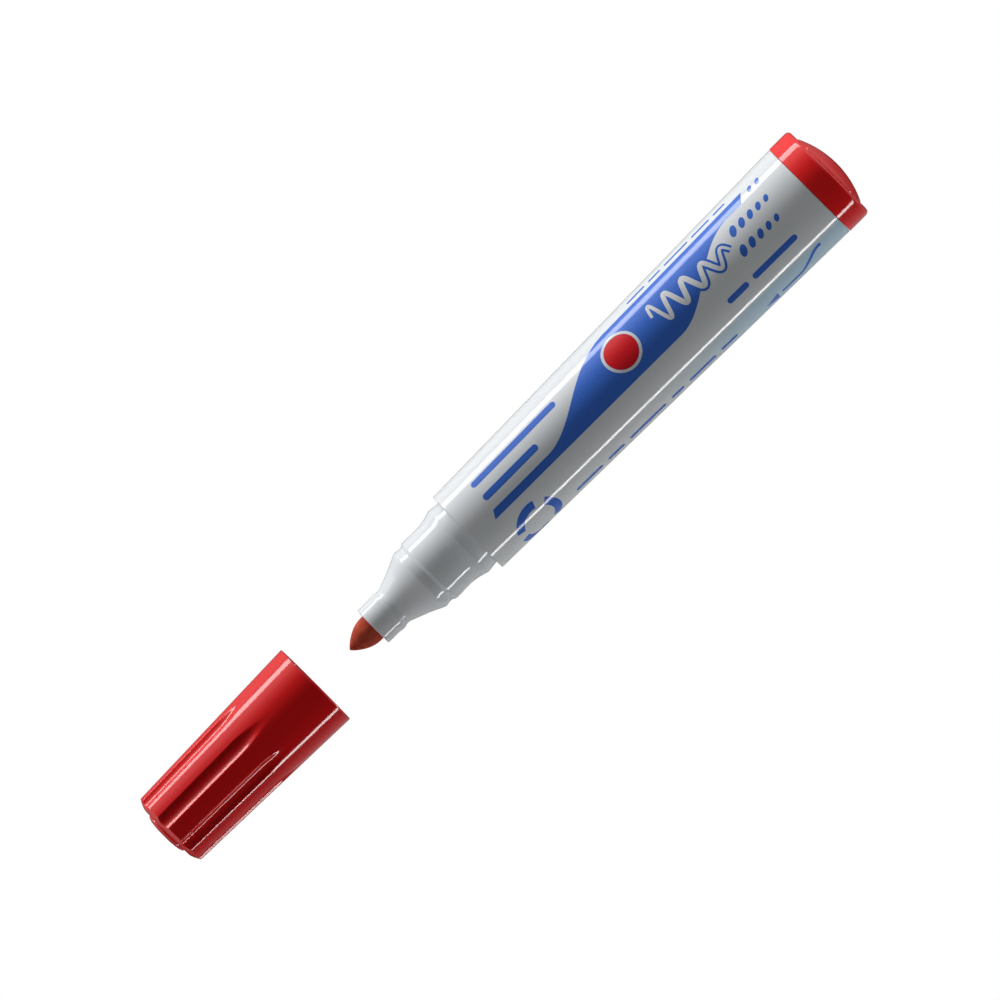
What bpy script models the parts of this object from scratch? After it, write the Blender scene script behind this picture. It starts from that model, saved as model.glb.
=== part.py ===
"""Whiteboard marker with its cap pulled off, modelled as separate solids.

The marker lies along X, with its writing tip and its cap towards -X, and Z is up. Places along
it are stations: millimetres forward of the barrel's front edge, so the nose, nib and cap have
positive stations, and the reservoir and end plug negative ones. Places in the cap are depths:
millimetres in from its mouth. Radii are in millimetres too, and MM turns them all into metres.
"""
import math

import bpy
from mathutils import Matrix

MM = 0.001
SIDES = 48                  # facets round each turned piece
GAP = 0.3                   # clearance between pieces that touch on the real marker
MERGE = 0.00001             # metres; joins a turned piece's seam and its points on the axis

# Barrel: a tapered tube, wider at the rear
BARREL_LENGTH = 86.0
BARREL_FRONT_R = 8.8
BARREL_REAR_R = 10.2
BARREL_WALL = 1.15
EDGE = 0.15                 # small chamfer on moulded edges

# End plug: a collar as wide as the barrel, with a shallow dome
PLUG_R = 10.27
PLUG_COLLAR = 3.7           # straight length of the collar
PLUG_ROUND = 1.0            # radius of the collar's rear edge
DOME_R = 7.9
DOME_STEP = 0.15
DOME_RISE = 1.55
PLUG_SPIGOT_R = 8.6
PLUG_SPIGOT_END = -79.4     # station of the spigot's front rim
PLUG_WALL = 1.1
PLUG_FLOOR = -89.5          # station of the floor inside the plug
STOP_TUBE_R = 5.6           # inner tube that stops the reservoir sliding back

# Nose section: beaded collar, cone and nib tube
SPIGOT_R = BARREL_FRONT_R - BARREL_WALL - GAP
SPIGOT_REAR = -9.0
NOSE_BORE_R = 5.4
NIB_TUBE_END = 24.1
NIB_TUBE_R = 3.98

# Nib: a fibre rod with a bullet tip
NIB_R = 2.7
NIB_TIP = 29.9
NIB_BULLET = 5.4            # length of the rounded tip
NIB_REAR = -15.9

# Ink reservoir: a fibre rod wrapped in a film sleeve
RESERVOIR_R = 6.3
RESERVOIR_FRONT = -9.9
RESERVOIR_REAR = -78.0
NIB_POCKET = 6.4            # depth of the nib's pocket in the reservoir
FILM_WALL = 0.25
FILM_INSET = 0.5            # the film stops this far short of each end

# Cap: a fluted shell over a sealing cup
CAP_MOUTH = 38.6            # station of the mouth, with the cap pulled off
CAP_LENGTH = 36.6           # mouth to the rim of the closed end
CAP_MOUTH_R = 8.72
CAP_END_R = 7.66
CAP_BORE_R = 7.75
END_HOLE_R = 4.55           # hole in the closed end, filled by the cup's disc
END_WALL_DEPTH = 35.2       # inner face of the closed end
CUP_MOUTH_DEPTH = 11.0
CUP_LIP_R = 6.7             # inner radius of the sealing lip
CUP_BORE_R = 4.75
CUP_WALL = 0.7
DISC_R = END_HOLE_R - GAP
DISC_TOP = 38.28            # depth of the disc's flat centre
DISC_FLAT_R = 2.0

# Flutes: grooves in the cap that run out through its closed end
FLUTES = 8
FLUTE_PHASE = 13.5          # degrees, from straight up towards +Y
FLUTE_START = 12.1          # depth of the pointed front ends
FLUTE_DEPTH = 1.0
FLUTE_CUT_R = 1.7           # radius of the groove's floor
FLUTE_NOSE = 6.5            # length over which a groove runs in
FLUTE_OVERRUN = 4.0         # how far a cutter runs past the closed end

PLUG_FRONT = -BARREL_LENGTH - GAP
PLUG_FACE = PLUG_FRONT - PLUG_COLLAR - PLUG_ROUND
PLUG_END = PLUG_FACE - DOME_STEP - DOME_RISE
CAP_END = CAP_MOUTH + DISC_TOP
MIDDLE = (CAP_END + PLUG_END) / 2
AXIS_HEIGHT = PLUG_R * MM

COLLECTION = "whiteboard_marker"


def clear_scene():
    for thing in list(bpy.data.objects):
        bpy.data.objects.remove(thing, do_unlink=True)


def collection(name):
    group = bpy.data.collections.new(name)
    bpy.context.scene.collection.children.link(group)
    return group


def plastic(name, color, roughness):
    """A plain moulded material; fibre pieces use it with a high roughness."""
    material = bpy.data.materials.new(name)
    material.use_nodes = True
    shader = material.node_tree.nodes["Principled BSDF"]
    shader.inputs["Base Color"].default_value = (*color, 1.0)
    shader.inputs["Roughness"].default_value = roughness
    shader.inputs["Metallic"].default_value = 0.0
    material.diffuse_color = (*color, 1.0)
    return material


def place_on_axis(station):
    """Turns a piece's Z towards the tip and its X upwards, and puts it at a station."""
    turn = Matrix.Rotation(math.radians(-90), 4, "Y")
    return Matrix.Translation(((MIDDLE - station) * MM, 0, AXIS_HEIGHT)) @ turn


def arc(center, radius, start, end, steps):
    """Points of an arc in a profile; angles in degrees, 0 outwards and 90 towards the tip."""
    points = []
    for i in range(steps + 1):
        angle = math.radians(start + (end - start) * i / steps)
        points.append((center[0] + radius * math.cos(angle), center[1] + radius * math.sin(angle)))
    return points


def turned(name, profile, closed, group, matrix, material=None):
    """A solid of revolution from (radius, height) points that run down its outer side."""
    points = [(radius * MM, 0, height * MM) for radius, height in profile]
    edges = [(i, i + 1) for i in range(len(points) - 1)]
    if closed:
        edges.append((len(points) - 1, 0))
    mesh = bpy.data.meshes.new(name)
    mesh.from_pydata(points, edges, [])
    if material:
        mesh.materials.append(material)
    piece = bpy.data.objects.new(name, mesh)
    group.objects.link(piece)
    piece.matrix_world = matrix
    screw = piece.modifiers.new("Turn", "SCREW")
    screw.axis = "Z"
    screw.steps = SIDES
    screw.render_steps = SIDES
    screw.use_merge_vertices = True
    screw.merge_threshold = MERGE
    screw.use_smooth_shade = True
    return piece


def barrel(group, material):
    front, rear = BARREL_FRONT_R, BARREL_REAR_R
    profile = [
        (front - EDGE, 0),
        (front, -EDGE),
        (rear, -BARREL_LENGTH),
        (rear - BARREL_WALL, -BARREL_LENGTH),
        (front - BARREL_WALL, 0),
    ]
    return turned("barrel", profile, True, group, place_on_axis(0), material)


def nose_section(group, material):
    nib_bore = NIB_R + GAP
    tube = [
        (nib_bore, NIB_TUBE_END),
        (NIB_TUBE_R - 0.25, NIB_TUBE_END),
        (NIB_TUBE_R, NIB_TUBE_END - 0.25),
        (NIB_TUBE_R, 21.5),
        (4.1, 20.7),
        (4.1, 20.1),
        (3.93, 19.4),
        (3.93, 18.75),
    ]
    cone = [(4.5, 17.1), (5.36, 15.0), (6.6, 12.3), (6.6, 11.7)]
    groove = [(6.5, 11.1), (6.5, 10.6)]
    front_bead = [(6.92, 9.8), (6.95, 8.8), (6.86, 7.4)]
    collar = [(6.88, 5.9), (7.1, 4.4), (7.6, 2.7), (7.6, 2.1), (7.5, GAP), (SPIGOT_R, GAP)]
    spigot = [(SPIGOT_R, SPIGOT_REAR + GAP), (SPIGOT_R - GAP, SPIGOT_REAR), (NOSE_BORE_R, SPIGOT_REAR)]
    bore = [(NOSE_BORE_R, 10.5), (nib_bore, 16.8)]
    profile = tube + cone + groove + front_bead + collar + spigot + bore
    return turned("nose_section", profile, True, group, place_on_axis(0), material)


def nib(group, material):
    bullet = []
    for i in range(13):
        t = i / 12
        bullet.append((NIB_R * (1 - (1 - t) ** 2), NIB_TIP - NIB_BULLET * t))
    rod = [(NIB_R, NIB_REAR + GAP), (NIB_R - GAP, NIB_REAR), (0, NIB_REAR)]
    return turned("nib", bullet + rod, False, group, place_on_axis(0), material)


def ink_reservoir(group, material):
    pocket_r = NIB_R + GAP
    pocket_floor = RESERVOIR_FRONT - NIB_POCKET
    profile = [
        (0, pocket_floor),
        (pocket_r, pocket_floor),
        (pocket_r, RESERVOIR_FRONT),
        (RESERVOIR_R, RESERVOIR_FRONT),
        (RESERVOIR_R, RESERVOIR_REAR),
        (0, RESERVOIR_REAR),
    ]
    return turned("ink_reservoir", profile, False, group, place_on_axis(0), material)


def reservoir_film(group, material):
    inner = RESERVOIR_R + GAP
    outer = inner + FILM_WALL
    front = RESERVOIR_FRONT - FILM_INSET
    rear = RESERVOIR_REAR + FILM_INSET
    profile = [(outer, front), (outer, rear), (inner, rear), (inner, front)]
    return turned("reservoir_film", profile, True, group, place_on_axis(0), material)


def end_plug(group, material):
    stop_front = RESERVOIR_REAR - GAP
    inside = [
        (0, PLUG_FLOOR),
        (STOP_TUBE_R - PLUG_WALL, PLUG_FLOOR),
        (STOP_TUBE_R - PLUG_WALL, stop_front),
        (STOP_TUBE_R, stop_front),
        (STOP_TUBE_R, PLUG_FLOOR),
        (PLUG_SPIGOT_R - PLUG_WALL, PLUG_FLOOR),
        (PLUG_SPIGOT_R - PLUG_WALL, PLUG_SPIGOT_END),
    ]
    spigot = [
        (PLUG_SPIGOT_R - GAP, PLUG_SPIGOT_END),
        (PLUG_SPIGOT_R, PLUG_SPIGOT_END - GAP),
        (PLUG_SPIGOT_R, PLUG_FRONT),
    ]
    collar = [(PLUG_R - EDGE, PLUG_FRONT), (PLUG_R, PLUG_FRONT - EDGE)]
    round_center = (PLUG_R - PLUG_ROUND, PLUG_FACE + PLUG_ROUND)
    collar += arc(round_center, PLUG_ROUND, 0, -90, 5)
    sphere_r = (DOME_R ** 2 + DOME_RISE ** 2) / (2 * DOME_RISE)
    half_angle = math.degrees(math.asin(DOME_R / sphere_r))
    dome = [(DOME_R, PLUG_FACE)]
    dome += arc((0, PLUG_END + sphere_r), sphere_r, half_angle - 90, -90, 8)
    dome[-1] = (0, PLUG_END)
    return turned("end_plug", inside + spigot + collar + dome, False, group, place_on_axis(0), material)


def cap_shell(group, material, cutters):
    closed_end = [(END_HOLE_R, 37.52), (5.8, 37.5), (6.7, 37.12), (CAP_END_R - EDGE, CAP_LENGTH)]
    side = [(CAP_END_R, CAP_LENGTH - EDGE), (CAP_MOUTH_R, EDGE), (CAP_MOUTH_R - EDGE, 0)]
    mouth = [(CAP_BORE_R + EDGE, 0), (CAP_BORE_R, EDGE), (CAP_BORE_R, 9.0), (7.6, 9.3)]
    neck_r = CUP_BORE_R + CUP_WALL + GAP
    bore = [(7.6, 12.5), (neck_r, 17.5), (neck_r, END_WALL_DEPTH), (END_HOLE_R, END_WALL_DEPTH)]
    profile = closed_end + side + mouth + bore
    shell = turned("cap_shell", profile, True, group, place_on_axis(CAP_MOUTH), material)
    cut = shell.modifiers.new("Flutes", "BOOLEAN")
    cut.operation = "DIFFERENCE"
    cut.operand_type = "COLLECTION"
    cut.collection = cutters
    return shell


def flute_cutters(group):
    """Round rods with pointed noses, laid along the cap's taper."""
    taper = math.atan((CAP_MOUTH_R - CAP_END_R) / CAP_LENGTH)
    surface_r = CAP_MOUTH_R - FLUTE_START * math.tan(taper)
    lift = surface_r - FLUTE_DEPTH + FLUTE_CUT_R
    length = CAP_LENGTH - FLUTE_START + FLUTE_OVERRUN
    profile = [(0, length), (FLUTE_CUT_R, length)]
    for i in range(9):
        t = 1 - i / 8
        share = 1 - (1 - t) ** 2
        profile.append((FLUTE_CUT_R * share, FLUTE_NOSE * t - FLUTE_NOSE * 0.25))
    profile[-1] = (0, profile[-1][1])
    for i in range(FLUTES):
        azimuth = math.radians(FLUTE_PHASE + 360 / FLUTES * i)
        matrix = place_on_axis(CAP_MOUTH)
        matrix = matrix @ Matrix.Rotation(azimuth, 4, "Z")
        matrix = matrix @ Matrix.Translation((lift * MM, 0, FLUTE_START * MM))
        matrix = matrix @ Matrix.Rotation(-taper, 4, "Y")
        cutter = turned(f"flute_cutter_{i + 1}", profile, False, group, matrix)
        cutter.modifiers["Turn"].steps = 24
        cutter.modifiers["Turn"].render_steps = 24
        cutter.hide_render = True
        cutter.display_type = "WIRE"


def cap_liner(group, material):
    """The sealing cup; its closed end shows as the disc in the cap's end."""
    outer_r = CUP_BORE_R + CUP_WALL
    neck_depth = 17.5
    crown = [
        (0, DISC_TOP),
        (DISC_FLAT_R, DISC_TOP),
        (3.2, DISC_TOP - 0.14),
        (4.0, DISC_TOP - 0.34),
        (DISC_R, DISC_TOP - 0.55),
    ]
    shoulder = [(DISC_R, END_WALL_DEPTH - GAP), (outer_r, END_WALL_DEPTH - GAP)]
    outside = [(outer_r - 0.02, neck_depth), (7.28, 12.5), (7.28, CUP_MOUTH_DEPTH)]
    inside = [
        (CUP_LIP_R, CUP_MOUTH_DEPTH),
        (CUP_LIP_R, 12.4),
        (CUP_BORE_R, 17.2),
        (CUP_BORE_R, 33.0),
        (3.4, 33.0),
        (3.4, 36.4),
        (0, 36.4),
    ]
    profile = crown + shoulder + outside + inside
    return turned("cap_liner", profile, False, group, place_on_axis(CAP_MOUTH), material)


def build():
    clear_scene()
    parts = collection(COLLECTION)
    cutters = collection("cutters")
    white = (0.72, 0.74, 0.76)
    red = (0.50, 0.01, 0.015)
    barrel(parts, plastic("barrel_white", white, 0.22))
    nose_section(parts, plastic("nose_white", (0.70, 0.73, 0.74), 0.25))
    nib(parts, plastic("nib_fibre", (0.13, 0.02, 0.01), 0.85))
    ink_reservoir(parts, plastic("reservoir_fibre", (0.45, 0.02, 0.02), 0.95))
    reservoir_film(parts, plastic("reservoir_film_clear", (0.80, 0.78, 0.74), 0.35))
    end_plug(parts, plastic("plug_red", red, 0.2))
    flute_cutters(cutters)
    cap_shell(parts, plastic("cap_red", red, 0.2), cutters)
    cap_liner(parts, plastic("cap_liner_red", red, 0.3))


build()
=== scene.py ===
"""Looks of the whiteboard marker: fine meshes, materials, printing, floor, light and camera.

The marker lies along X with its writing tip and its cap towards -X, and Z is up. Places along it
are stations: millimetres forward of the pictured barrel's front edge, so the nose, nib and cap have
positive stations, and the barrel and end plug negative ones. Places in the cap are depths:
millimetres in from its mouth. Azimuths are degrees round the axis, from straight up towards -Y.
Radii are in millimetres too, and MM turns them all into metres.
"""

import math

import bmesh
import bpy
from mathutils import Matrix, Vector


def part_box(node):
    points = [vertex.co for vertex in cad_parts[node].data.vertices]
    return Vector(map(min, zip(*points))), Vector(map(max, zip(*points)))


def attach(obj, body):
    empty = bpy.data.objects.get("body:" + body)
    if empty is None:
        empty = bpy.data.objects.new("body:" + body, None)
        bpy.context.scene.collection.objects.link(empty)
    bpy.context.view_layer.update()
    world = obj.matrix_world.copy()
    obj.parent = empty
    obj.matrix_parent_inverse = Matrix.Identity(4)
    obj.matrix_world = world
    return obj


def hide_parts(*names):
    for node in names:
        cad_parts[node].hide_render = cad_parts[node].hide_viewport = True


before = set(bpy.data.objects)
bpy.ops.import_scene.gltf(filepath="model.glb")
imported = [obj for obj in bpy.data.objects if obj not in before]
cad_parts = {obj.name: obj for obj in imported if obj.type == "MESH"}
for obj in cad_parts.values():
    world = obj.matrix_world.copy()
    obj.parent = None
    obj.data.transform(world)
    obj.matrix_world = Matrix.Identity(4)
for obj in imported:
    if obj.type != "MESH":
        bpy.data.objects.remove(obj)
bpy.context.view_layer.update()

MM = 0.001

# The frame gives where each piece starts and ends
BARREL_LOW, BARREL_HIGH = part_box("barrel")
BARREL_LEAD = 0.2           # how far the pictured barrel starts ahead of the frame's
BARREL_TAIL = 0.1           # how far the pictured barrel ends behind the frame's
DOME_TAIL = 0.3             # how far the pictured dome ends behind the frame's
FRONT_X = BARREL_LOW.x - BARREL_LEAD * MM
AXIS_Z = (BARREL_LOW.z + BARREL_HIGH.z) / 2
BARREL_REAR = (FRONT_X - BARREL_HIGH.x) / MM - BARREL_TAIL
BARREL_REAR_R = (BARREL_HIGH.z - BARREL_LOW.z) / 2 / MM
NOSE_END = (FRONT_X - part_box("nose_section")[0].x) / MM
NOSE_REAR = (FRONT_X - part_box("nose_section")[1].x) / MM
NIB_TIP = (FRONT_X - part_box("nib")[0].x) / MM
NIB_REAR = (FRONT_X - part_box("nib")[1].x) / MM
RESERVOIR_FRONT = (FRONT_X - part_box("ink_reservoir")[0].x) / MM
RESERVOIR_REAR = (FRONT_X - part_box("ink_reservoir")[1].x) / MM
RESERVOIR_R = (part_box("ink_reservoir")[1].z - AXIS_Z) / MM
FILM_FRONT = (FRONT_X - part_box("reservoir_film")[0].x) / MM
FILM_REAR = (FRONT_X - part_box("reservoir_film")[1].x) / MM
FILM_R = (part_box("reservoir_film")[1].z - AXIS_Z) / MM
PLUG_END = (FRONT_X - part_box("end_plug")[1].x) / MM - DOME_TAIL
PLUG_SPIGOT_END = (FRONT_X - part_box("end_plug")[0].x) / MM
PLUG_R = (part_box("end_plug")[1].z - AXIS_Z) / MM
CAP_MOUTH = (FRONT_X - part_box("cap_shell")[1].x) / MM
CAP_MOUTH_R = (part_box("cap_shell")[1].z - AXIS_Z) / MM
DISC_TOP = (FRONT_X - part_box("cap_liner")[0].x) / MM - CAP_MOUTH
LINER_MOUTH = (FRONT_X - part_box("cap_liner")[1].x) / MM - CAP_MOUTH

SEAM = 0.06                 # what shows of the joint between two pressed-together pieces
GAP = 0.3                   # room between two pieces where it doesn't show
TURN_SIDES = 192
RING_STEP = 1.5             # longest stretch between two rings of a turned piece
FILLET_STEPS = 5

# Barrel
BARREL_FRONT_R = 8.8
BARREL_WALL = 1.15
BARREL_SIDES = 256

# Nose
SPIGOT_R = 7.35             # the part inside the barrel
NOSE_BORE_R = 5.4
NIB_BORE_R = 3.0
NIB_TUBE_R = 3.98

# Nib and reservoir
NIB_R = 2.7
NIB_BULLET = 5.4            # length of the rounded tip
NIB_BLUNT = 0.2             # how far back its rounding reaches
NIB_SIDES = 128
NIB_POCKET = 6.4            # depth of the reservoir's pocket for the nib
RESERVOIR_SIDES = 96

# End plug
PLUG_ROUND = 1.0            # radius of the collar's rear edge
PLUG_SPIGOT_R = 8.6
PLUG_WALL = 1.1
PLUG_FLOOR = 1.5            # thickness of its closed end beside the dome
STOP_TUBE_R = 5.6           # inner tube that stops the reservoir sliding back
DOME_R = 7.9
DOME_RISE = 1.85
DOME_STEP = 0.15            # how far the dome's edge lies behind the collar's face

# Cap and its sealing cup
CAP_RIM = 36.6              # depth of the outer corner of the closed end
CAP_RIM_R = 7.66
CAP_BORE_R = 7.75
CAP_STEP_R = 7.6            # bore round the cup's lip
CAP_NECK_R = 5.75           # bore round the rest of the cup
NECK_DEPTH = 17.5           # where the neck and the narrow part of the cup start
END_HOLE_R = 4.4
END_WALL_DEPTH = 35.2
CUP_LIP_R = 7.28            # outer radius of the lip
CUP_LIP_BORE_R = 6.7
CUP_LIP_DEPTH = 12.5        # where the lip starts to narrow
CUP_BORE_R = 4.75
CUP_FLOOR_DEPTH = 33.0
DISC_R = 4.3
DISC_HOLLOW_R = 3.4
DISC_HOLLOW_DEPTH = 36.4
CAP_SIDES = 576

# Flutes: round grooves in the cap that run out through its closed end
FLUTES = 8
FLUTE_PHASE = -13.5         # azimuth of one groove
FLUTE_START = 12.0          # depth of the pointed front ends
FLUTE_RUN = 4.8             # length over which a groove reaches its full depth
FLUTE_DEPTH = 0.72
FLUTE_FLOOR_R = 1.75        # radius of the groove's floor
FLUTE_EDGE = 0.3            # how far the groove's edges are rounded

# Moulding colours, with the plug's red painted lighter than the cap's to stand in for extra light on it
WHITE = (0.825, 0.86, 0.885)
NOSE_WHITE = (0.81, 0.85, 0.88)
CAP_RED = (0.80, 0.008, 0.010)
# Painted light: the plug's red is lighter than the cap's so that its shaded middle looks lit
PLUG_RED_PAINTED_LIGHT = (0.97, 0.014, 0.016)
LINER_RED = (0.82, 0.010, 0.018)

# Fibre, film and ink colours
NIB_SOAKED = (0.46, 0.045, 0.020)
NIB_DRY = (0.66, 0.17, 0.075)
RESERVOIR_SOAKED = (0.55, 0.03, 0.03)
RESERVOIR_PALE = (0.8, 0.25, 0.22)
FILM = (0.82, 0.80, 0.76)
INK_BLUE = (0.053, 0.18, 0.72)
INK_RED = (0.80, 0.010, 0.018)

# Print, in layers that stand just proud of the barrel
INK = 0.012                 # height of one layer
INK_ROOT = 0.02             # how far each layer is keyed into the surface
INK_ARC = 2.0               # degrees round the barrel between two of its points
LEAN_FADE = 4.0             # length over which a leaning end straightens


# ---------------------------------------------------------------- turned meshes

def place(station, radius, azimuth):
    """World point at a station, a radius and an azimuth."""
    turn = math.radians(azimuth)
    x = FRONT_X - station * MM
    y = -radius * MM * math.sin(turn)
    z = AXIS_Z + radius * MM * math.cos(turn)
    return Vector((x, y, z))


def soften(corners, closed=False):
    """Rounds the corners of an outline of (radius, station) or (radius, station, fillet)."""
    points = []
    count = len(corners)
    for i, corner in enumerate(corners):
        fillet = corner[2] if len(corner) > 2 else 0
        here = Vector(corner[:2])
        if not fillet or (not closed and i in (0, count - 1)):
            points.append(here)
            continue
        back = Vector(corners[i - 1][:2]) - here
        ahead = Vector(corners[(i + 1) % count][:2]) - here
        half = back.angle(ahead) / 2
        reach = min(fillet / math.tan(half), 0.48 * back.length, 0.48 * ahead.length)
        start = here + back.normalized() * reach
        end = here + ahead.normalized() * reach
        for step in range(FILLET_STEPS + 1):
            t = step / FILLET_STEPS
            points.append(start.lerp(here, t).lerp(here.lerp(end, t), t))
    return points


def with_rings(points, closed=False, longest=RING_STEP, support=0.12):
    """Splits long stretches of an outline, with a supporting ring close to each end."""
    ends = list(zip(points, points[1:] + points[:1])) if closed else list(zip(points, points[1:]))
    split = []
    for start, end in ends:
        split.append(start)
        length = (end - start).length
        if length < 4 * support:
            continue
        pieces = max(1, math.ceil((length - 2 * support) / longest))
        for i in range(pieces + 1):
            along = support + (length - 2 * support) * i / pieces
            split.append(start.lerp(end, along / length))
    if not closed:
        split.append(points[-1])
    return split


def arc(center, radius, start, end, steps):
    """Points of an arc in an outline; degrees, 0 outwards and 90 towards the tip."""
    angles = [math.radians(start + (end - start) * i / steps) for i in range(steps + 1)]
    return [(center[0] + radius * math.cos(a), center[1] + radius * math.sin(a)) for a in angles]


def finish_mesh(name, vertices, faces):
    """A smooth-shaded object whose faces all point outwards."""
    mesh = bpy.data.meshes.new(name)
    mesh.from_pydata(vertices, [], faces)
    work = bmesh.new()
    work.from_mesh(mesh)
    bmesh.ops.recalc_face_normals(work, faces=work.faces)
    for face in work.faces:
        face.smooth = True
    work.to_mesh(mesh)
    work.free()
    piece = bpy.data.objects.new(name, mesh)
    bpy.context.scene.collection.objects.link(piece)
    return piece


def revolve(name, outline, closed=False, sides=TURN_SIDES, radius_at=None):
    """Turns an outline into a solid. An open one starts and ends on the axis.

    radius_at(index, radius, station, azimuth) may change the radius from place to place.
    """
    vertices = []
    rings = []
    for index, (radius, station) in enumerate(outline):
        if radius < 1e-6:
            rings.append([len(vertices)])
            vertices.append(place(station, 0, 0))
            continue
        rings.append(list(range(len(vertices), len(vertices) + sides)))
        for side in range(sides):
            azimuth = 360 * side / sides
            here = radius_at(index, radius, station, azimuth) if radius_at else radius
            vertices.append(place(station, here, azimuth))
    pairs = list(zip(rings, rings[1:]))
    if closed:
        pairs.append((rings[-1], rings[0]))
    faces = []
    for first, second in pairs:
        for side in range(sides):
            after = (side + 1) % sides
            if len(first) == 1:
                faces.append((first[0], second[side], second[after]))
            elif len(second) == 1:
                faces.append((first[side], first[after], second[0]))
            else:
                faces.append((first[side], first[after], second[after], second[side]))
    return finish_mesh(name, vertices, faces)


def turned(name, corners, closed=False, sides=TURN_SIDES):
    return revolve(name, with_rings(soften(corners, closed), closed), closed, sides)


# ---------------------------------------------------------------- materials

class Graph:
    """Shorthand for adding linked nodes to a node tree."""

    def __init__(self, tree):
        self.tree = tree
        tree.nodes.clear()

    def node(self, kind, inputs=None, **settings):
        made = self.tree.nodes.new(kind)
        for key, value in settings.items():
            setattr(made, key, value)
        for key, value in (inputs or {}).items():
            self.feed(made.inputs[key], value)
        return made

    def feed(self, socket, value):
        if isinstance(value, bpy.types.NodeSocket):
            self.tree.links.new(value, socket)
        else:
            socket.default_value = value

    def math(self, operation, first, second=0.0):
        return self.node("ShaderNodeMath", {0: first, 1: second}, operation=operation).outputs[0]

    def remap(self, value, low, high, to_low, to_high, smooth=False):
        kind = "SMOOTHSTEP" if smooth else "LINEAR"
        sockets = {"Value": value, "From Min": low, "From Max": high, "To Min": to_low, "To Max": to_high}
        return self.node("ShaderNodeMapRange", sockets, interpolation_type=kind).outputs["Result"]

    def mix(self, share, first, second, blend="MIX"):
        sockets = {"Fac": share, "Color1": first, "Color2": second}
        return self.node("ShaderNodeMixRGB", sockets, blend_type=blend).outputs["Color"]

    def noise(self, vector, scale, detail=2.0, roughness=0.5):
        sockets = {"Vector": vector, "Scale": scale, "Detail": detail, "Roughness": roughness}
        return self.node("ShaderNodeTexNoise", sockets).outputs["Fac"]

    def stretched(self, scale):
        """Object coordinates scaled differently along each axis."""
        place_at = self.node("ShaderNodeTexCoord").outputs["Object"]
        return self.node("ShaderNodeMapping", {"Vector": place_at, "Scale": scale}).outputs["Vector"]

    def bump(self, height, distance, strength=1.0, normal=None):
        sockets = {"Strength": strength, "Distance": distance, "Height": height}
        if normal is not None:
            sockets["Normal"] = normal
        return self.node("ShaderNodeBump", sockets).outputs["Normal"]


def tint(color, factor):
    return tuple(min(1.0, channel * factor) for channel in color) + (1.0,)


def new_material(name):
    material = bpy.data.materials.new(name)
    material.use_nodes = True
    return material, Graph(material.node_tree)


def finish_material(material, graph, color, sockets):
    """Adds the shader that the sockets feed; color is what a plain viewport shows."""
    shader = graph.node("ShaderNodeBsdfPrincipled", sockets)
    graph.node("ShaderNodeOutputMaterial", {"Surface": shader.outputs["BSDF"]})
    material.diffuse_color = (*color, 1.0)
    return material


def moulded_plastic(name, color, roughness, overprint=None):
    """Glossy moulding: faint flow marks in the colour, slight waviness and fine handling wear.

    overprint(graph, base) may lay a soft-edged tint over the colour.
    """
    material, graph = new_material(name)
    flow = graph.noise(graph.stretched((60, 180, 180)), 1.0, 3.0, 0.55)
    base = graph.mix(flow, tint(color, 0.98), tint(color, 1.02))
    if overprint:
        base = overprint(graph, base)
    scuffs = graph.noise(graph.stretched((900, 4200, 4200)), 1.0, 4.0, 0.6)
    gloss = graph.remap(scuffs, 0.35, 0.75, roughness * 0.92, roughness * 1.2)
    waves = graph.noise(graph.stretched((120, 260, 260)), 1.0, 1.0, 0.4)
    normal = graph.bump(waves, 0.0003 * MM)
    return finish_material(material, graph, color, {
        "Base Color": base,
        "Roughness": gloss,
        "Normal": normal,
    })


def ink_print(name, color):
    """Screen-printed ink: nearly as glossy as the barrel, with slightly uneven cover."""
    material, graph = new_material(name)
    cover = graph.noise(graph.stretched((2600, 2600, 2600)), 1.0, 3.0, 0.6)
    base = graph.mix(graph.remap(cover, 0.3, 0.7, 0.0, 1.0), tint(color, 0.93), tint(color, 1.07))
    gloss = graph.remap(cover, 0.3, 0.7, 0.08, 0.14)
    normal = graph.bump(cover, 0.0003 * MM)
    return finish_material(material, graph, color, {
        "Base Color": base,
        "Roughness": gloss,
        "Normal": normal,
    })


def nib_felt(name, color, dry_color):
    """Pressed fibres along the nib, dark where the ink sits and paler on the fibre ends."""
    material, graph = new_material(name)
    fibres = graph.noise(graph.stretched((900, 9000, 9000)), 1.0, 4.0, 0.65)
    clumps = graph.noise(graph.stretched((700, 1100, 1100)), 1.0, 2.0, 0.5)
    fibre_ends = graph.remap(fibres, 0.4, 0.75, 0.0, 1.0)
    patches = graph.remap(clumps, 0.35, 0.7, 0.25, 1.0)
    dry = graph.math("MULTIPLY", fibre_ends, patches)
    base = graph.mix(dry, tint(color, 1.0), tint(dry_color, 1.0))
    normal = graph.bump(fibres, 0.03 * MM)
    normal = graph.bump(clumps, 0.02 * MM, normal=normal)
    return finish_material(material, graph, color, {
        "Base Color": base,
        "Roughness": graph.remap(fibres, 0.3, 0.7, 0.8, 0.95),
        "Specular IOR Level": 0.3,
        "Sheen Weight": 0.25,
        "Sheen Roughness": 0.5,
        "Sheen Tint": tint(dry_color, 1.2),
        "Normal": normal,
    })


def reservoir_fibre(name, color, pale_color):
    """Loosely bundled fibres along the rod, soaked unevenly with ink."""
    material, graph = new_material(name)
    fibres = graph.noise(graph.stretched((250, 6000, 6000)), 1.0, 5.0, 0.7)
    soak = graph.noise(graph.stretched((90, 160, 160)), 1.0, 2.0, 0.5)
    base = graph.mix(graph.remap(soak, 0.35, 0.7, 0.0, 0.6), tint(color, 0.8), tint(pale_color, 1.0))
    base = graph.mix(graph.remap(fibres, 0.35, 0.7, 0.0, 0.5), base, tint(color, 0.55))
    return finish_material(material, graph, color, {
        "Base Color": base,
        "Roughness": graph.remap(fibres, 0.3, 0.7, 0.8, 0.97),
        "Normal": graph.bump(fibres, 0.08 * MM),
    })


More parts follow.
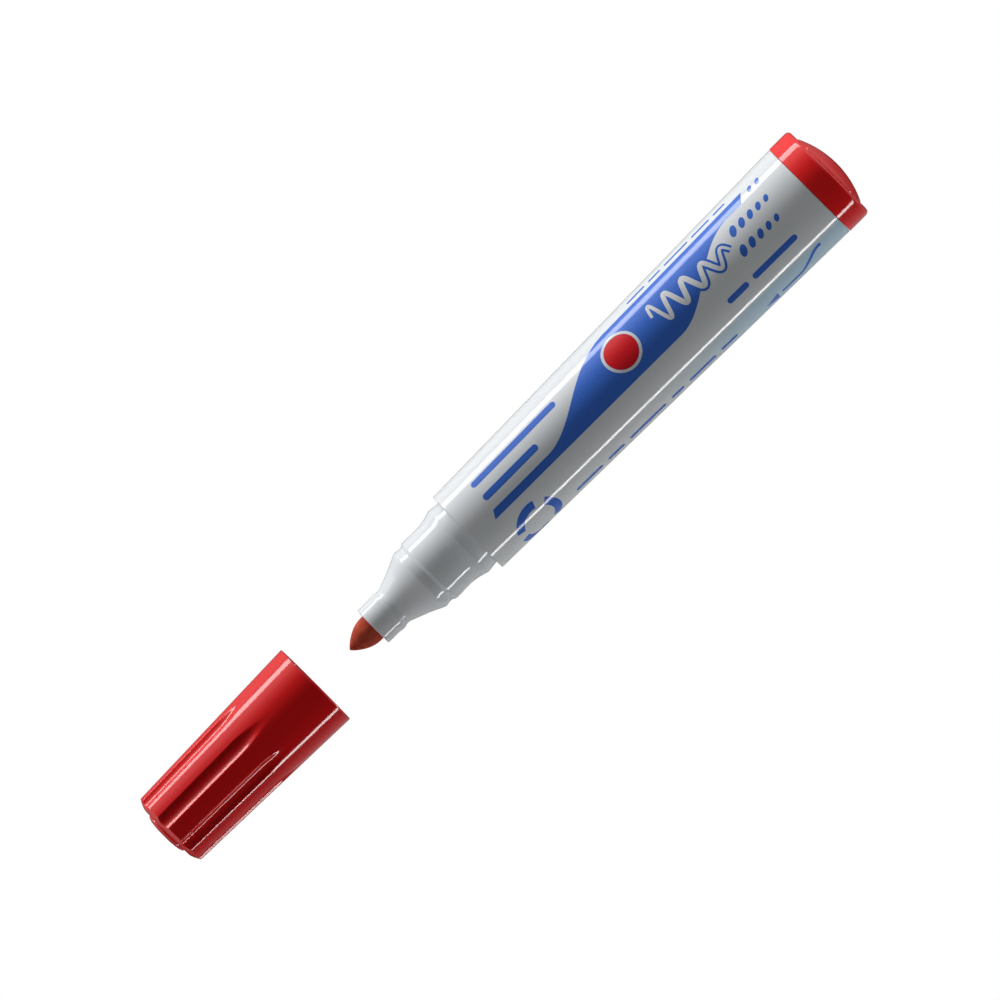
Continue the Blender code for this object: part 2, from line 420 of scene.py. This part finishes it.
def wrapping_film(name, color):
    """Thin wrapping film, creased along its length."""
    material, graph = new_material(name)
    creases = graph.noise(graph.stretched((60, 900, 900)), 1.0, 3.0, 0.6)
    base = graph.mix(creases, tint(color, 0.93), tint(color, 1.02))
    return finish_material(material, graph, color, {
        "Base Color": base,
        "Roughness": graph.remap(creases, 0.3, 0.7, 0.2, 0.4),
        "Normal": graph.bump(creases, 0.05 * MM),
    })


# ---------------------------------------------------------------- the pieces

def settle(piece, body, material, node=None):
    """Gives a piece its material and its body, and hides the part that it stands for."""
    piece.data.materials.append(material)
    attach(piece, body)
    if node:
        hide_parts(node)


def barrel_tube(material):
    corners = [
        (BARREL_FRONT_R, 0, 0.16),
        (BARREL_REAR_R, BARREL_REAR, 0.14),
        (BARREL_REAR_R - BARREL_WALL, BARREL_REAR, 0.1),
        (SPIGOT_R + SEAM, 0, 0.08),
    ]
    piece = turned("barrel_tube", corners, True, BARREL_SIDES)
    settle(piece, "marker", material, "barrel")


def nose_moulding(material):
    """Collar, front bead, groove, shoulder, cone and nib tube, in that order from the barrel."""
    tube = [
        (NIB_BORE_R, NOSE_END, 0.1),
        (NIB_TUBE_R, NOSE_END, 0.22),
        (NIB_TUBE_R, 21.2, 0.8),
        (4.1, 20.55, 0.3),
        (4.1, 19.85, 0.3),
        (3.93, 19.3, 0.3),
    ]
    cone = [(3.93, 18.5, 1.2), (5.36, 14.8, 6.0), (6.5, 12.4, 0.5)]
    rear_bead = [(6.62, 12.1, 0.2), (6.62, 11.6, 0.25)]
    groove = [(6.5, 11.0, 0.3), (6.5, 10.45, 0.25)]
    bead = [(6.9, 9.75, 0.35), (6.95, 8.7, 1.2), (6.86, 7.2, 2.0)]
    collar = [(6.88, 5.7, 2.0), (7.1, 4.2, 1.5), (7.62, 2.4, 0.3)]
    collar += [(7.6, 1.9, 0.15), (7.42, 0.4, 0.1), (7.42, SEAM, 0.05)]
    spigot = [(SPIGOT_R, SEAM), (SPIGOT_R, NOSE_REAR, 0.3), (NOSE_BORE_R, NOSE_REAR, 0.1)]
    bore = [(NOSE_BORE_R, 10.3, 0.3), (NIB_BORE_R, 16.6, 0.3)]
    corners = tube + cone + rear_bead + groove + bead + collar + spigot + bore
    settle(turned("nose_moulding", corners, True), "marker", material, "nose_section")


def nib_tip(material):
    """A bullet whose radius grows as a parabola, with its very tip rounded off."""
    steps = 48
    bullet = [(0, NIB_TIP)]
    for i in range(1, steps + 1):
        t = (i / steps) ** 1.5
        depth = math.hypot(NIB_BULLET * t, NIB_BLUNT) - NIB_BLUNT
        bullet.append((NIB_R * (1 - (1 - t) ** 2), NIB_TIP - depth))
    rod = [(NIB_R, NIB_REAR, 0.3), (0, NIB_REAR)]
    outline = with_rings(soften(bullet + rod))
    piece = revolve("nib_tip", outline, sides=NIB_SIDES)
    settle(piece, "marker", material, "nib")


def reservoir_rod(material):
    pocket_floor = RESERVOIR_FRONT - NIB_POCKET
    corners = [
        (0, pocket_floor),
        (NIB_R + GAP, pocket_floor, 0.1),
        (NIB_R + GAP, RESERVOIR_FRONT, 0.3),
        (RESERVOIR_R, RESERVOIR_FRONT, 0.4),
        (RESERVOIR_R, RESERVOIR_REAR, 0.4),
        (0, RESERVOIR_REAR),
    ]
    piece = turned("reservoir_rod", corners, sides=RESERVOIR_SIDES)
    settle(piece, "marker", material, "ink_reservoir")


def reservoir_sleeve(material):
    inner = RESERVOIR_R + GAP
    corners = [
        (FILM_R, FILM_FRONT, 0.06),
        (FILM_R, FILM_REAR, 0.06),
        (inner, FILM_REAR, 0.06),
        (inner, FILM_FRONT, 0.06),
    ]
    piece = turned("reservoir_sleeve", corners, True, RESERVOIR_SIDES)
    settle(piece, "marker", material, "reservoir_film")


def end_plug_moulding(material):
    """Spigot with a tube inside it, collar and shallow dome."""
    front = BARREL_REAR - SEAM
    face = PLUG_END + DOME_RISE + DOME_STEP
    floor_inside = face + PLUG_FLOOR
    stop_front = RESERVOIR_REAR - GAP
    inside = [
        (0, floor_inside),
        (STOP_TUBE_R - PLUG_WALL, floor_inside, 0.2),
        (STOP_TUBE_R - PLUG_WALL, stop_front, 0.1),
        (STOP_TUBE_R, stop_front, 0.1),
        (STOP_TUBE_R, floor_inside, 0.2),
        (PLUG_SPIGOT_R - PLUG_WALL, floor_inside, 0.2),
        (PLUG_SPIGOT_R - PLUG_WALL, PLUG_SPIGOT_END, 0.1),
    ]
    spigot = [(PLUG_SPIGOT_R, PLUG_SPIGOT_END, 0.3), (PLUG_SPIGOT_R, front, 0.05)]
    collar = [(PLUG_R, front, 0.12), (PLUG_R, face, PLUG_ROUND), (DOME_R, face, 0.08)]
    sphere_r = (DOME_R ** 2 + DOME_RISE ** 2) / (2 * DOME_RISE)
    half_angle = math.degrees(math.asin(DOME_R / sphere_r))
    dome = arc((0, PLUG_END + sphere_r), sphere_r, half_angle - 90, -90, 24)
    dome[0] = (*dome[0], 0.15)
    dome[-1] = (0, PLUG_END)
    corners = inside + spigot + collar + dome
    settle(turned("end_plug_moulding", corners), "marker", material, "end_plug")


def smooth_min(first, second, blend):
    """The smaller of two values, with the crease between them rounded."""
    overlap = max(blend - abs(first - second), 0) / blend
    return min(first, second) - overlap * overlap * blend / 4


def cap_side_radius(depth):
    return CAP_MOUTH_R + (CAP_RIM_R - CAP_MOUTH_R) * depth / CAP_RIM


def flute_radius(radius, depth, azimuth):
    """How far a groove leaves the surface from the axis, at a depth and an azimuth."""
    pitch = 360 / FLUTES
    off = math.radians((azimuth - FLUTE_PHASE + pitch / 2) % pitch - pitch / 2)
    share = (depth - FLUTE_START) / FLUTE_RUN
    sunk = FLUTE_DEPTH * smooth_min(share, 1.0, 0.25)
    center = cap_side_radius(depth) - sunk + FLUTE_FLOOR_R
    across = center * math.sin(off)
    if depth < FLUTE_START - 1 or abs(across) > FLUTE_FLOOR_R * 0.995:
        return radius
    floor = center * math.cos(off) - math.sqrt(FLUTE_FLOOR_R ** 2 - across ** 2)
    return smooth_min(radius, floor, FLUTE_EDGE)


def cap_fluted_shell(material):
    """The outer wall, closed end, end hole and bore, with the grooves cut in the first two."""
    def by_depth(corners, closed=False, longest=RING_STEP):
        softened = soften([(c[0], CAP_MOUTH + c[1], *c[2:]) for c in corners], closed)
        return with_rings(softened, closed, longest)

    fine_start, fine_end = FLUTE_START - 0.4, FLUTE_START + FLUTE_RUN + 1.0
    outer = by_depth([
        (CAP_BORE_R + 0.6, 0),
        (CAP_MOUTH_R, 0, 0.2),
        (cap_side_radius(fine_start), fine_start),
    ])
    fine_rings = 42
    for i in range(1, fine_rings):
        depth = fine_start + (fine_end - fine_start) * i / fine_rings
        outer.append(Vector((cap_side_radius(depth), CAP_MOUTH + depth)))
    outer += by_depth([
        (cap_side_radius(fine_end), fine_end),
        (CAP_RIM_R, CAP_RIM, 0.25),
        (6.7, CAP_RIM + 0.52, 0.6),
        (5.8, CAP_RIM + 0.86, 0.8),
        (END_HOLE_R, CAP_RIM + 0.92, 0.12),
        (END_HOLE_R, END_WALL_DEPTH + 0.6),
    ])
    inner = by_depth([
        (END_HOLE_R, END_WALL_DEPTH + 0.3),
        (END_HOLE_R, END_WALL_DEPTH, 0.1),
        (CAP_NECK_R, END_WALL_DEPTH, 0.2),
        (CAP_NECK_R, NECK_DEPTH, 0.5),
        (CAP_STEP_R, CUP_LIP_DEPTH, 0.5),
        (CAP_STEP_R, 9.3, 0.3),
        (CAP_BORE_R, 9.0, 0.3),
        (CAP_BORE_R, 0, 0.2),
        (CAP_BORE_R + 0.4, 0),
    ], longest=4.0)
    fluted = len(outer)

    def radius_at(index, radius, station, azimuth):
        if index >= fluted:
            return radius
        return flute_radius(radius, station - CAP_MOUTH, azimuth)

    piece = revolve("cap_fluted_shell", outer + inner, True, CAP_SIDES, radius_at)
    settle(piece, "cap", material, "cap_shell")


def cap_sealing_liner(material):
    """The sealing cup inside the cap; its closed end shows as the disc in the cap's end."""
    corners = [
        (0, DISC_TOP),
        (2.0, DISC_TOP, 1.0),
        (3.4, DISC_TOP - 0.18, 1.0),
        (DISC_R, DISC_TOP - 0.5, 0.12),
        (DISC_R, END_WALL_DEPTH - GAP, 0.1),
        (5.45, END_WALL_DEPTH - GAP, 0.2),
        (5.43, NECK_DEPTH, 0.5),
        (CUP_LIP_R, CUP_LIP_DEPTH, 0.5),
        (CUP_LIP_R, LINER_MOUTH, 0.2),
        (CUP_LIP_BORE_R, LINER_MOUTH, 0.2),
        (CUP_LIP_BORE_R, 12.4, 0.5),
        (CUP_BORE_R, 17.2, 0.5),
        (CUP_BORE_R, CUP_FLOOR_DEPTH, 0.3),
        (DISC_HOLLOW_R, CUP_FLOOR_DEPTH, 0.2),
        (DISC_HOLLOW_R, DISC_HOLLOW_DEPTH, 0.2),
        (0, DISC_HOLLOW_DEPTH),
    ]
    shifted = [(c[0], CAP_MOUTH + c[1], *c[2:]) for c in corners]
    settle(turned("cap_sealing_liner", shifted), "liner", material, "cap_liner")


# ---------------------------------------------------------------- printing on the barrel

def barrel_radius(station):
    return BARREL_FRONT_R + (BARREL_REAR_R - BARREL_FRONT_R) * station / BARREL_REAR


def ease(share):
    """0 to 1 with level ends."""
    share = min(1.0, max(0.0, share))
    return share * share * (3 - 2 * share)


def span(start, end, step):
    """Even stations from start to end, no more than a step apart."""
    count = max(1, math.ceil(abs(end - start) / step))
    return [start + (end - start) * i / count for i in range(count + 1)]


def columns(stations, edges, front_lean=0.0, rear_lean=0.0):
    """A grid of print points: at each station, points between the azimuths that edges gives.

    Its ends may lean by some mm, lower edge forward, like italic writing.
    """
    spans = [edges(station) for station in stations]
    across = max(2, math.ceil(max(abs(high - low) for low, high in spans) / INK_ARC))
    grid = []
    for station, (low, high) in zip(stations, spans):
        lean = front_lean * max(0.0, 1 - (stations[0] - station) / LEAN_FADE)
        lean += rear_lean * max(0.0, 1 - (station - stations[-1]) / LEAN_FADE)
        steps = [i / across for i in range(across + 1)]
        grid.append([(station + lean * (t - 0.5), low + (high - low) * t) for t in steps])
    return grid


def degrees_round(length, station):
    """The angle that a length in mm takes up round the barrel."""
    return math.degrees(length / barrel_radius(station))


def oval(station, azimuth, length, height, lean=0.0):
    """An oval as columns; lean shears it, lower edge forward, by a share of its height."""
    steps = 20
    first = 0.06            # radians short of each end, so that the end columns have some length
    across = max(4, math.ceil(degrees_round(height, station) / INK_ARC))
    grid = []
    for i in range(steps + 1):
        angle = first + (math.pi - 2 * first) * i / steps
        here = station + length / 2 * math.cos(angle)
        half = height / 2 * math.sin(angle)
        row = []
        for j in range(across + 1):
            down = half * (2 * j / across - 1)
            row.append((here + lean * down, azimuth + degrees_round(down, here)))
        grid.append(row)
    return grid


def pill(front, rear, azimuth, height):
    """A bar with round ends."""
    radius = height / 2
    rounding = [radius * (1 - math.cos(math.radians(angle))) for angle in range(8, 91, 12)]
    stations = [front - inset for inset in rounding]
    stations += span(front - radius, rear + radius, 1.0)[1:-1]
    stations += [rear + inset for inset in reversed(rounding)]

    def edges(station):
        short = radius - min(front - station, station - rear, radius)
        half = degrees_round(math.sqrt(radius ** 2 - short ** 2), station)
        return azimuth - half, azimuth + half

    return columns(stations, edges)


def ring(station, azimuth, outer, inner, start=0, end=360):
    """A ring, or an arc of one; a full ring's last row is its first."""
    full = end - start == 360
    steps = max(8, math.ceil((end - start) / 5))
    grid = []
    for i in range(steps if full else steps + 1):
        angle = math.radians(start + (end - start) * i / steps)
        row = []
        for share in (0, 0.25, 0.5, 0.75, 1):
            radius = outer + (inner - outer) * share
            here = station + radius * math.cos(angle)
            row.append((here, azimuth + degrees_round(radius * math.sin(angle), here)))
        grid.append(row)
    return grid + [grid[0]] if full else grid


def stroke(line, width_at):
    """A line of (station, azimuth) points drawn with a width in mm that changes along it."""
    grid = []
    count = len(line)
    for i, (station, azimuth) in enumerate(line):
        arc_mm = math.radians(barrel_radius(station))
        before, after = line[max(0, i - 1)], line[min(count - 1, i + 1)]
        along = Vector((after[0] - before[0], (after[1] - before[1]) * arc_mm)).normalized()
        side = Vector((-along.y, along.x)) * width_at(i / (count - 1)) / 2
        row = [(station + side.x * k, azimuth + side.y * k / arc_mm) for k in (-1, -0.5, 0, 0.5, 1)]
        grid.append(row)
    return grid


def barrel_normals(mesh, top_count):
    """Gives the first faces of a mesh the barrel's normals and leaves the others flat."""
    taper = Vector(((BARREL_REAR_R - BARREL_FRONT_R) / BARREL_REAR, 0, 0))
    normals = []
    for face in mesh.polygons:
        for index in face.vertices:
            point = mesh.vertices[index].co
            outward = Vector((0, point.y, point.z - AXIS_Z)).normalized()
            normals.append((outward + taper).normalized() if face.index < top_count else face.normal)
    mesh.normals_split_custom_set(normals)


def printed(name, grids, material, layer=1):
    """One closed solid for each grid, keyed into the barrel and standing layer inks proud.

    Its top takes the barrel's own normals, so that reflections run on over it unbroken.
    """
    vertices, tops, rest = [], [], []
    for grid in grids:
        closed = grid[0] is grid[-1]
        rows = grid[:-1] if closed else grid
        count, across = len(rows), len(rows[0])
        top = len(vertices)
        bottom = top + count * across
        for lift in (INK * layer, -INK_ROOT):
            for row in rows:
                vertices += [place(s, barrel_radius(s) + lift, a) for s, a in row]
        for i in range(count if closed else count - 1):
            this, after = i * across, (i + 1) % count * across
            for j in range(across - 1):
                quad = (this + j, after + j, after + j + 1, this + j + 1)
                tops.append(tuple(top + v for v in quad))
                rest.append(tuple(bottom + v for v in reversed(quad)))
            for j in (0, across - 1):
                rest.append((top + this + j, top + after + j, bottom + after + j, bottom + this + j))
        if not closed:
            for i in (0, count - 1):
                for j in range(across - 1):
                    a, b = i * across + j, i * across + j + 1
                    rest.append((top + a, top + b, bottom + b, bottom + a))
    piece = finish_mesh(name, vertices, tops + rest)
    barrel_normals(piece.data, len(tops))
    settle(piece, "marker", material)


# The ribbon: a narrow bar that widens into a band and ends in a narrow tail
RIBBON_FRONT, RIBBON_REAR = -5.65, -76.65
RIBBON_BAR = (2.5, 12.5)            # azimuths of the narrow bar's edges
RIBBON_TOP = -57.0
RIBBON_TAIL = -43.5
TOP_RISE = (-19.8, -42.2)           # stations between which the upper edge climbs
TAIL_RISE = (-52.0, -72.2)          # stations between which the lower edge climbs
RIBBON_LEAN = 0.9                   # mm that its front end leans
TAIL_LEAN = 1.3                     # mm that its rear end leans


def ribbon_edges(station):
    top = ease((station - TOP_RISE[0]) / (TOP_RISE[1] - TOP_RISE[0]))
    tail = ease((station - TAIL_RISE[0]) / (TAIL_RISE[1] - TAIL_RISE[0]))
    upper = RIBBON_BAR[0] + (RIBBON_TOP - RIBBON_BAR[0]) * top
    lower = RIBBON_BAR[1] + (RIBBON_TAIL - RIBBON_BAR[1]) * tail
    return upper, lower


def print_ribbon(blue):
    grid = columns(span(RIBBON_FRONT, RIBBON_REAR, 0.6), ribbon_edges, RIBBON_LEAN, TAIL_LEAN)
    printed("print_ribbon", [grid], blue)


WAVE_FRONT, WAVE_REAR = -50.4, -68.9
WAVES = 4.5
WAVE_SWING = (15, 7)                # degrees to each side, and how much less at its rear
WAVE_MIDDLE = (-23, 8)              # azimuth, and how much further round at its rear
WAVE_OUTLINE = 0.9                  # how much wider its blue outline is


def print_wave(white, blue):
    """A plain wavy pen line that gets calmer, with a blue outline where it leaves the ribbon."""
    line = []
    for station in span(WAVE_FRONT, WAVE_REAR, 0.2):
        share = (station - WAVE_FRONT) / (WAVE_REAR - WAVE_FRONT)
        reach = WAVE_SWING[0] - WAVE_SWING[1] * share
        swing = reach * math.sin(2 * math.pi * WAVES * share ** 0.9)
        line.append((station, WAVE_MIDDLE[0] + WAVE_MIDDLE[1] * share - swing))

    def width(share):
        return 0.3 + 0.75 * math.sin(math.pi * min(0.97, 0.12 + 0.8 * share))

    outline = stroke(line, lambda share: width(share) + WAVE_OUTLINE)
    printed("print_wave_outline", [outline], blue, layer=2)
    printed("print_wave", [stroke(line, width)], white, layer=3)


COLOR_DOT = (-42.2, -21.5)          # station and azimuth of its middle
COLOR_DOT_R = 3.3
COLOR_RING = (0.6, 0.05)            # how far outside the dot its ring ends and starts


def print_color_dot(red, white):
    """The round ink-colour mark with its pale ring."""
    dot = oval(*COLOR_DOT, 2 * COLOR_DOT_R, 2 * COLOR_DOT_R)
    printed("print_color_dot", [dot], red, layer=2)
    rim = ring(*COLOR_DOT, COLOR_DOT_R + COLOR_RING[0], COLOR_DOT_R + COLOR_RING[1])
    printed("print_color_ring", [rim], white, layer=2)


# Plain bars where a label's lines go: front and rear station, azimuth and height
LABEL_BARS = {
    "print_bar_upper": [(-6.3, -27.4, -36, 1.35)],
    "print_bar_lower": [(-6.3, -19.8, -14, 1.35)],
    "print_bar_rear": [(-61.9, -66.9, 23.5, 1.2), (-68.2, -79.0, 23.5, 1.2)],
}
# Rows of dashes where small lines go: the same, then the dashes' lengths in turn and the gap
LABEL_DASHES = {
    "print_line_top": (-48.9, -77.2, -65.5, 0.6, (4.5, 3.0, 6.0), 1.0),
    "print_line_side": (-19.1, -64.7, 68.5, 1.0, (6.5, 4.0, 9.0, 3.0), 1.4),
}


def dashes(front, rear, azimuth, height, lengths, gap):
    """Pills of the given lengths in turn, from one station to another."""
    grids = []
    station, turn = front, 0
    while station - lengths[turn % len(lengths)] > rear:
        length = lengths[turn % len(lengths)]
        grids.append(pill(station, station - length, azimuth, height))
        station -= length + gap
        turn += 1
    return grids


def print_label(blue):
    for name, bars in LABEL_BARS.items():
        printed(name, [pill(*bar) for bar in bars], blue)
    for name, row in LABEL_DASHES.items():
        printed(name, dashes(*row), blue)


DOT_ROWS = {"upper": (-27.0, -71.5), "lower": (-4.3, -70.4)}    # azimuth, first dot's station
DOTS = 5
DOT_LENGTH, DOT_HEIGHT = 1.5, 2.1
DOT_PITCH = 2.2
DOT_LEAN = 0.35                     # how far its lower edge leans forward, by its height


def print_dots(blue):
    """Two rows of five leaning ovals that get smaller, and two last small ones."""
    for name, (azimuth, first) in DOT_ROWS.items():
        row = []
        for i in range(DOTS):
            station = first - DOT_PITCH * i + 0.03 * i * i
            row.append(oval(station, azimuth, DOT_LENGTH - 0.11 * i, DOT_HEIGHT - 0.19 * i, DOT_LEAN))
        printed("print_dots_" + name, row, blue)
    last = [oval(station, -51.0, 1.05, 1.4, DOT_LEAN) for station in (-78.9, -80.8)]
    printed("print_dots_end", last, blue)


ARCS = (-10.8, 58.0, 5.0, 3.3)      # station, azimuth, outer and inner radius of their ring
ARC_STARTS = (14, 134, 254)
ARC_LENGTH = 92                     # degrees
ARROW_TIP = (-66.1, 71)             # station and azimuth
ARROW_FRONT, ARROW_REAR = -66.3, -69.3
ARROW_FLARE = 2.2                   # degrees to each side for each mm from the tip
ARROW_LINE = (-70.2, -81.0)
LINE_BEND = (-74.5, -80.5)          # stations between which the line bends upwards
LINE_AZIMUTH = 69.5
LINE_RISE = 17                      # degrees
LINE_WIDTH = 0.75


def arrow_edges(station):
    half = (ARROW_TIP[0] - station) * ARROW_FLARE
    return ARROW_TIP[1] - half, ARROW_TIP[1] + half


def print_side_marks(blue):
    """A ring of three arcs, and an arrow with its line."""
    arcs = [ring(*ARCS, start, start + ARC_LENGTH) for start in ARC_STARTS]
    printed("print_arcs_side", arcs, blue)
    arrow = columns(span(ARROW_FRONT, ARROW_REAR, 0.5), arrow_edges)
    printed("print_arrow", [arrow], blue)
    line = []
    for station in span(*ARROW_LINE, 0.3):
        bend = ease((station - LINE_BEND[0]) / (LINE_BEND[1] - LINE_BEND[0]))
        line.append((station, LINE_AZIMUTH - LINE_RISE * bend))
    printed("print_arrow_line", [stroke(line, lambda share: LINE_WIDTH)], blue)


# A pale blue tint printed with soft edges on the lower side of the rear
TINT = (0.66, 0.87, 1.0)            # what it leaves of the white below it
TINT_STATIONS = (-36.0, -70.0)      # where it starts and where it is full
TINT_AZIMUTHS = (40.0, 52.0, 110.0, 125.0)      # where it starts, is full, fades and ends


def pale_tint(graph, base):
    """An overprint that lays the tint over a colour."""
    axes = graph.node("ShaderNodeSeparateXYZ", {0: graph.stretched((1, 1, 1))}).outputs
    height = graph.math("SUBTRACT", axes["Z"], AXIS_Z)
    outward = graph.math("MULTIPLY", axes["Y"], -1.0)
    azimuth = graph.math("DEGREES", graph.math("ARCTAN2", outward, height))
    low, full, fade, high = TINT_AZIMUTHS
    start = graph.remap(azimuth, low, full, 0.0, 1.0, True)
    stop = graph.remap(azimuth, fade, high, 1.0, 0.0, True)
    front, rear = [FRONT_X - station * MM for station in TINT_STATIONS]
    along = graph.remap(axes["X"], front, rear, 0.0, 1.0, True)
    cover = graph.math("MULTIPLY", graph.math("MULTIPLY", start, stop), along)
    return graph.mix(cover, base, (*TINT, 1.0), "MULTIPLY")


# ---------------------------------------------------------------- floor, light and camera

# Brightness of the surroundings by the direction's height, from -1 straight down to 1 straight up
LEFT_WALL = ((-1.0, 0.1), (-0.5, 0.74), (0.0, 1.17), (0.25, 1.2), (0.5, 0.54), (0.75, 0.13), (1.0, 0.03))
END_WALLS = ((-1.0, 0.02), (-0.8, 0.12), (-0.45, 0.75), (0.0, 0.88), (0.25, 0.02), (1.0, 0.02))
RIGHT_WALL = ((-1.0, 0.36), (-0.5, 0.3), (0.0, 0.12), (0.25, 0.03), (0.5, 0.03), (1.0, 0.03))
# Shares of the direction that points to +Y between which one wall fades into the next
LEFT_FADE = (-0.1, 0.4)
RIGHT_FADE = (-0.5, -1.0)
# Two long softboxes beside the marker: degrees from straight up where each starts and ends
BROAD_SOFTBOX = (86.8, 100.8)
SLIM_SOFTBOX = (81.8, 88)
BROAD_POWER = 7.4
SLIM_POWER = 12.4
SOFTBOX_EDGE = 1.2          # degrees over which a softbox's edge fades
# Shares of the direction along X between which each softbox's ends fade
BROAD_REACH = (0.35, 0.6)
SLIM_REACH = (0.26, 0.4)


def wall(graph, height, share, stops):
    """One side of the surroundings: its brightness by height, times how much it is faced."""
    ramp = graph.node("ShaderNodeValToRGB", {"Fac": graph.remap(height, -1.0, 1.0, 0.0, 1.0)})
    elements = ramp.color_ramp.elements
    while len(elements) < len(stops):
        elements.new(0.5)
    for element, (position, brightness) in zip(elements, stops):
        element.position = (position + 1) / 2
        element.color = (brightness, brightness, brightness, 1.0)
    return graph.math("MULTIPLY", ramp.outputs["Color"], share)


def softbox(graph, angle, along, limits, reach, power):
    """Light between two angles round the X axis, faded at its edges and its two ends."""
    ends = graph.remap(along, *reach, 1.0, 0.0, True)
    start = graph.remap(angle, limits[0] - SOFTBOX_EDGE, limits[0] + SOFTBOX_EDGE, 0.0, 1.0, True)
    stop = graph.remap(angle, limits[1] - SOFTBOX_EDGE, limits[1] + SOFTBOX_EDGE, 1.0, 0.0, True)
    within = graph.math("MULTIPLY", start, stop)
    return graph.math("MULTIPLY", graph.math("MULTIPLY", within, ends), power)


def studio_light():
    """Soft light all round at the horizon, dark overhead, and a long softbox on each side."""
    world = bpy.data.worlds.new("studio")
    world.use_nodes = True
    bpy.context.scene.world = world
    graph = Graph(world.node_tree)
    direction = graph.node("ShaderNodeTexCoord").outputs["Generated"]
    axes = graph.node("ShaderNodeSeparateXYZ", {0: direction}).outputs
    x, y, z = axes["X"], axes["Y"], axes["Z"]
    level = graph.math("SQRT", graph.math("SUBTRACT", 1.0001, graph.math("MULTIPLY", z, z)))
    side = graph.math("DIVIDE", y, level)
    to_left = graph.remap(side, *LEFT_FADE, 0.0, 1.0, True)
    to_right = graph.remap(side, *RIGHT_FADE, 0.0, 1.0, True)
    to_ends = graph.math("SUBTRACT", graph.math("SUBTRACT", 1.0, to_left), to_right)
    left = wall(graph, z, to_left, LEFT_WALL)
    right = wall(graph, z, to_right, RIGHT_WALL)
    ends_light = wall(graph, z, to_ends, END_WALLS)
    sky = graph.math("ADD", graph.math("ADD", left, right), ends_light)
    degrees = graph.math("DEGREES", graph.math("ARCTAN2", y, z))
    opposite = graph.math("MULTIPLY", degrees, -1.0)
    along = graph.math("ABSOLUTE", x)
    broad = softbox(graph, degrees, along, BROAD_SOFTBOX, BROAD_REACH, BROAD_POWER)
    slim = softbox(graph, opposite, along, SLIM_SOFTBOX, SLIM_REACH, SLIM_POWER)
    light = graph.math("ADD", graph.math("ADD", sky, broad), slim)
    lit = graph.node("ShaderNodeBackground", {"Color": light, "Strength": 1.0})
    pale = graph.node("ShaderNodeBackground", {"Color": (1, 1, 1, 1), "Strength": 1.0})
    seen = graph.node("ShaderNodeLightPath").outputs["Is Camera Ray"]
    mixed = graph.node("ShaderNodeMixShader", {0: seen, 1: lit.outputs[0], 2: pale.outputs[0]})
    graph.node("ShaderNodeOutputWorld", {"Surface": mixed.outputs[0]})


FLOOR_HALF = 4.0            # metres from its middle to each side


def pale_floor():
    """A plain white floor that touches the plug's rim and the cap's mouth."""
    touch_rear = Vector((FRONT_X - (PLUG_END + DOME_RISE + PLUG_ROUND) * MM, 0, AXIS_Z - PLUG_R * MM))
    touch_front = Vector((FRONT_X - CAP_MOUTH * MM, 0, AXIS_Z - CAP_MOUTH_R * MM))
    slope = math.atan2(touch_front.z - touch_rear.z, touch_rear.x - touch_front.x)
    mesh = bpy.data.meshes.new("floor")
    half = FLOOR_HALF
    corners = [(-half, -half, 0), (half, -half, 0), (half, half, 0), (-half, half, 0)]
    mesh.from_pydata(corners, [], [(0, 1, 2, 3)])
    floor = bpy.data.objects.new("floor", mesh)
    bpy.context.scene.collection.objects.link(floor)
    floor.matrix_world = Matrix.Translation(touch_rear) @ Matrix.Rotation(slope, 4, "Y")
    for ray in ("diffuse", "glossy", "transmission", "shadow"):
        setattr(floor, "visible_" + ray, False)
    material, graph = new_material("floor_white")
    glow = graph.node("ShaderNodeEmission", {"Color": (1, 1, 1, 1), "Strength": 1.0})
    graph.node("ShaderNodeOutputMaterial", {"Surface": glow.outputs[0]})
    mesh.materials.append(material)


VIEW_WIDTH = 178.57 * MM    # what the picture takes in, across the marker's axis
VIEW_STATION = -8.16        # what the picture's centre shows
CAMERA_DISTANCE = 6.0       # metres
CAMERA_TILT = 0.5           # degrees from straight down, towards the plug
CAMERA_TURN = 45.0          # degrees that the marker's axis is turned in the picture


def camera():
    data = bpy.data.cameras.new("camera")
    data.sensor_width = 36
    data.lens = data.sensor_width * CAMERA_DISTANCE / VIEW_WIDTH
    data.clip_end = 20
    eye = bpy.data.objects.new("camera", data)
    bpy.context.scene.collection.objects.link(eye)
    target = place(VIEW_STATION, 0, 0)
    tilt = Matrix.Rotation(math.radians(CAMERA_TILT), 4, "Y")
    turn = Matrix.Rotation(math.radians(-CAMERA_TURN), 4, "Z")
    back = Matrix.Translation((0, 0, CAMERA_DISTANCE))
    eye.matrix_world = Matrix.Translation(target) @ tilt @ turn @ back
    bpy.context.scene.camera = eye


def build_pieces():
    barrel_tube(moulded_plastic("barrel_white", WHITE, 0.065, pale_tint))
    nose_moulding(moulded_plastic("nose_white", NOSE_WHITE, 0.06))
    nib_tip(nib_felt("nib_fibre", NIB_SOAKED, NIB_DRY))
    reservoir_rod(reservoir_fibre("reservoir_fibre", RESERVOIR_SOAKED, RESERVOIR_PALE))
    reservoir_sleeve(wrapping_film("reservoir_film_clear", FILM))
    # The plug's material has painted light: its red is lighter than the cap's to look more lit
    end_plug_moulding(moulded_plastic("plug_red", PLUG_RED_PAINTED_LIGHT, 0.08))
    cap_fluted_shell(moulded_plastic("cap_red", CAP_RED, 0.08))
    cap_sealing_liner(moulded_plastic("cap_liner_red", LINER_RED, 0.14))


def build_print():
    blue = ink_print("print_blue", INK_BLUE)
    white = ink_print("print_white", WHITE)
    print_ribbon(blue)
    print_wave(white, blue)
    print_color_dot(ink_print("print_red", INK_RED), white)
    print_label(blue)
    print_dots(blue)
    print_side_marks(blue)


build_pieces()
build_print()
pale_floor()
studio_light()
camera()
bpy.context.scene.view_settings.view_transform = "Standard"
